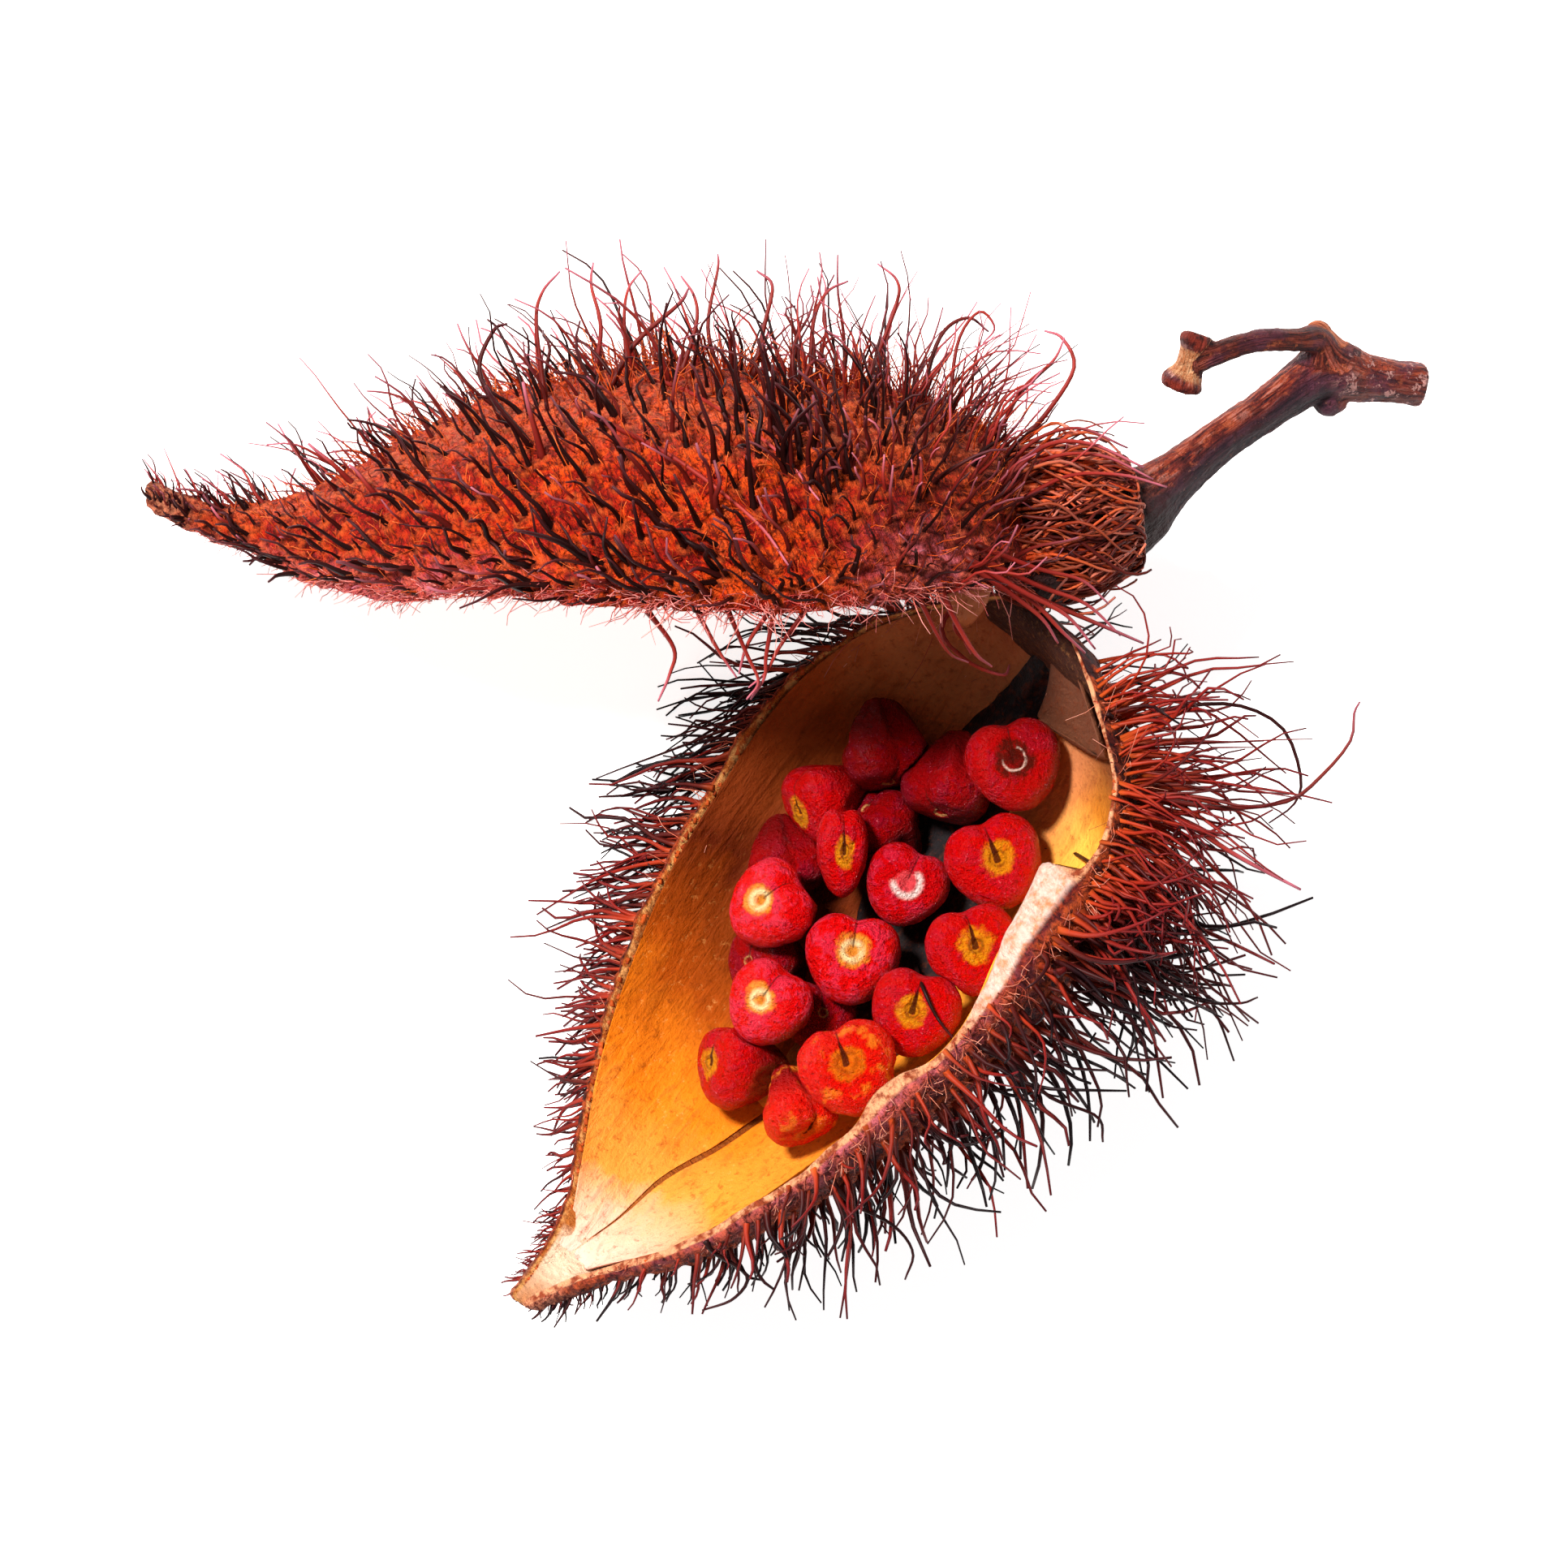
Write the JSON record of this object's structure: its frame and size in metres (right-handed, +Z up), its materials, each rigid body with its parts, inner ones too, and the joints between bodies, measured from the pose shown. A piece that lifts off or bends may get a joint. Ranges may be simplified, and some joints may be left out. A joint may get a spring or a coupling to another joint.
{
  "type": "annatto seed pod",
  "caption": "Dried annatto seed pod split into two bristly valves on a forked stem, with red seeds heaped in the lower valve.",
  "frame": {"origin": "middle of the bounding box at the plane the pod lies on", "axes": "+Z up from the plane it lies on; +X toward the stem's cut end; the upper valve's beak points along -X and the lower valve's beak toward -X and -Y"},
  "size_m": [0.0661, 0.0544, 0.0276],
  "materials": {
    "valve_wall": "dry woody wall with red-brown bristles",
    "lining": "golden papery skin, satin",
    "lining_dark": "dark brown papery skin",
    "lining_pale": "tan papery skin",
    "placenta": "dark dry tissue",
    "stem": "dry bark with fibres",
    "seed": "waxy red coat with a pale disc"
  },
  "bodies": {
    "root": {"lower_valve": "valve_wall", "upper_valve": "valve_wall", "lower_lining": "lining", "lower_lining_right": "lining", "lining_flap": "lining_dark", "upper_lining": "lining_pale", "placenta": "placenta", "stem": "stem", "seed_01": "seed", "seed_02": "seed", "seed_03": "seed", "seed_04": "seed", "seed_05": "seed", "seed_06": "seed", "seed_07": "seed", "seed_08": "seed", "seed_09": "seed", "seed_10": "seed", "seed_11": "seed", "seed_12": "seed", "seed_13": "seed", "seed_14": "seed", "seed_15": "seed", "seed_16": "seed", "seed_17": "seed", "seed_18": "seed", "seed_19": "seed"}
  },
  "joints": []
}
